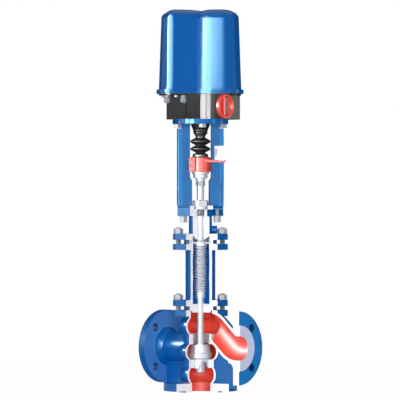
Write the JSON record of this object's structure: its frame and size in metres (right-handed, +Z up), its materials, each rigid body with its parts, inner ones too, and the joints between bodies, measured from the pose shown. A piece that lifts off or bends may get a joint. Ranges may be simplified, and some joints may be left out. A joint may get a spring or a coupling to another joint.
{
  "type": "control valve",
  "caption": "Cut-away three-way globe control valve with bellows-sealed stem, cast yoke and electric thrust actuator with a handwheel.",
  "frame": {"origin": "centre of the raised face of the bottom port's flange", "axes": "+Z up along the stem axis; +X along the flow axis, from the left port to the right port, and along the handwheel's axis; the cut-away quadrant is x > 0, y < 0"},
  "size_m": [0.23, 0.1788, 0.8567],
  "materials": {
    "body_paint": "gloss",
    "yoke_paint": "gloss",
    "cover_paint": "gloss",
    "case_plastic": "satin",
    "seat_steel": "satin",
    "bright_steel": "gloss",
    "packing_black": "matte",
    "fastener_steel": "gloss",
    "red_plastic": "gloss",
    "scale_white": "satin",
    "boot_rubber": "matte",
    "boot_ring": "satin",
    "drive_brass": "satin",
    "motor_can": "satin",
    "board_green": "satin",
    "terminal_grey": "satin"
  },
  "bodies": {
    "frame": {"valve_body": "body_paint", "bellows_housing": "body_paint", "bonnet": "body_paint", "yoke": "yoke_paint", "actuator_cover": "cover_paint", "gear_housing": "case_plastic", "cable_glands": "case_plastic", "lower_seat_ring": "seat_steel", "upper_seat_ring": "seat_steel", "guide_bush": "seat_steel", "bellows_top_ring": "seat_steel", "stem_bush": "seat_steel", "bellows": "bright_steel", "packing_washer": "bright_steel", "gland_nut": "bright_steel", "nut_bearings": "bright_steel", "packing_rings": "packing_black", "body_gasket": "packing_black", "bonnet_gasket": "packing_black", "cover_gasket": "packing_black", "lower_studs": "fastener_steel", "lower_nuts": "fastener_steel", "upper_studs": "fastener_steel", "upper_nuts": "fastener_steel", "yoke_foot_bolts": "fastener_steel", "yoke_top_screws": "fastener_steel", "cover_screws": "fastener_steel", "stroke_scale": "scale_white", "rubber_boot": "boot_rubber", "boot_collar": "boot_ring", "drive_motor": "motor_can", "mounting_plate": "motor_can", "bearing_bridge": "motor_can", "circuit_board": "board_green", "terminal_strip": "terminal_grey", "limit_switches": "terminal_grey"},
    "stem": {"valve_plug": "seat_steel", "plug_pin": "seat_steel", "valve_stem": "bright_steel", "bellows_end_ring": "seat_steel", "lock_nut": "bright_steel", "stem_coupling": "bright_steel", "coupling_clamp": "red_plastic", "clamp_screws": "fastener_steel", "actuator_spindle": "bright_steel", "switch_cam": "terminal_grey"},
    "nut": {"spindle_nut": "drive_brass"},
    "motor_shaft": {"motor_pinion": "drive_brass"},
    "wheel": {"handwheel": "red_plastic", "handwheel_shaft": "bright_steel", "crank_pin": "bright_steel"},
    "crank": {"crank_handle": "terminal_grey"}
  },
  "joints": [
    {"name": "stem_travel", "type": "slide", "parent": "frame", "child": "stem", "axis": [0, 0, 1], "range_m": [0, 0.02], "deforming": ["bellows", "rubber_boot"]},
    {"name": "nut_turn", "type": "hinge", "parent": "frame", "child": "nut", "pos_m": [0, 0, 0.62], "axis": [0, 0, 1], "range_deg": [-721, 1]},
    {"name": "motor_turn", "type": "hinge", "parent": "frame", "child": "motor_shaft", "pos_m": [0.0297, 0.0297, 0.62], "axis": [0, 0, 1], "range_deg": [-1, 1801]},
    {"name": "handwheel_turn", "type": "hinge", "parent": "frame", "child": "wheel", "pos_m": [0.07, 0, 0.6392], "axis": [1, 0, 0], "range_deg": [-1441, 1]},
    {"name": "crank_fold", "type": "hinge", "parent": "wheel", "child": "crank", "pos_m": [0.0739, 0, 0.6217], "axis": [0, 1, 0], "range_deg": [0, 90]}
  ],
  "couplings": [
    {"joint": "nut_turn", "follows": "stem_travel", "rad_per_m": -628.32},
    {"joint": "motor_turn", "follows": "stem_travel", "rad_per_m": 1570.8},
    {"joint": "handwheel_turn", "follows": "stem_travel", "rad_per_m": -1256.6}
  ]
}
